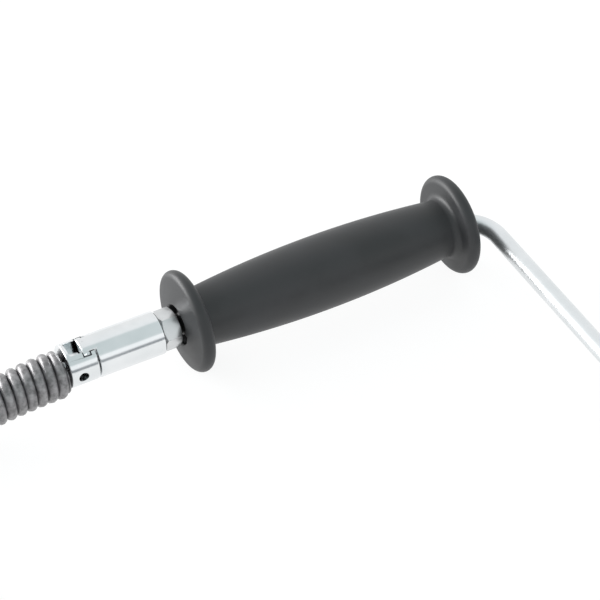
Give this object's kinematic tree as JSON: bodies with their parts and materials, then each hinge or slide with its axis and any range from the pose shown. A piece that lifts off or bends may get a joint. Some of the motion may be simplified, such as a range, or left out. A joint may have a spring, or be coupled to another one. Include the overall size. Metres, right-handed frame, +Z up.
{
  "type": "hand-cranked drain spiral",
  "caption": "Hand-cranked drain spiral: a Z-shaped crank with two turning grips drives a coiled steel spiral with an auger through a T-slot coupling.",
  "frame": {"origin": "on the table, at the middle of the footprint of the crank with its grips, couplings' front plunger included and the spiral left out", "axes": "+X from the spiral along the grips to the rear nut, +Z up from the table, -Y from the front grip to the rear grip"},
  "size_m": [0.5936, 0.2216, 0.038],
  "materials": {
    "zinc_plate": "bright zinc-plated steel, finely streaked",
    "spring_steel": "dark grey spring steel wire, slightly mottled",
    "grip_plastic": "dark grey moulded plastic, satin",
    "black_nylon": "black nylon"
  },
  "bodies": {
    "crank": {"crank_rod": "zinc_plate", "lock_nut": "zinc_plate", "front_washer": "black_nylon", "front_stop_ring": "zinc_plate", "rear_stop_ring": "zinc_plate", "rear_washer": "black_nylon", "rear_nut": "zinc_plate", "rear_nut_insert": "black_nylon", "drive_coupling": "zinc_plate", "drive_lock_spring": "spring_steel", "spiral_socket": "zinc_plate", "spiral_run": "spring_steel", "spiral_coil": "spring_steel", "spiral_tail": "spring_steel", "coil_tie_1": "black_nylon", "coil_tie_2": "black_nylon", "coil_tie_3": "black_nylon", "coil_tie_4": "black_nylon", "tail_coupling": "zinc_plate", "tail_lock_spring": "spring_steel", "auger_socket": "zinc_plate", "tail_shank": "zinc_plate", "auger": "spring_steel"},
    "front_grip": {"front_grip": "grip_plastic"},
    "rear_grip": {"rear_grip": "grip_plastic"},
    "drive_plunger": {"drive_lock_plunger": "zinc_plate"},
    "tail_plunger": {"tail_lock_plunger": "zinc_plate"}
  },
  "joints": [
    {"name": "front_grip_spin", "type": "hinge", "parent": "crank", "child": "front_grip", "pos_m": [-0.05228, 0.065, 0.019], "axis": [1, 0, 0], "continuous": true},
    {"name": "rear_grip_spin", "type": "hinge", "parent": "crank", "child": "rear_grip", "pos_m": [0.08173, -0.065, 0.019], "axis": [1, 0, 0], "continuous": true},
    {"name": "drive_plunger_press", "type": "slide", "parent": "crank", "child": "drive_plunger", "axis": [1, 0, 0], "range_m": [0, 0.003], "stiffness_N_per_m": 800, "springref_m": -0.004, "deforming": ["drive_lock_spring"]},
    {"name": "tail_plunger_press", "type": "slide", "parent": "crank", "child": "tail_plunger", "axis": [-0.766, -0.6428, 0], "range_m": [0, 0.003], "stiffness_N_per_m": 800, "springref_m": -0.004, "deforming": ["tail_lock_spring"]}
  ]
}
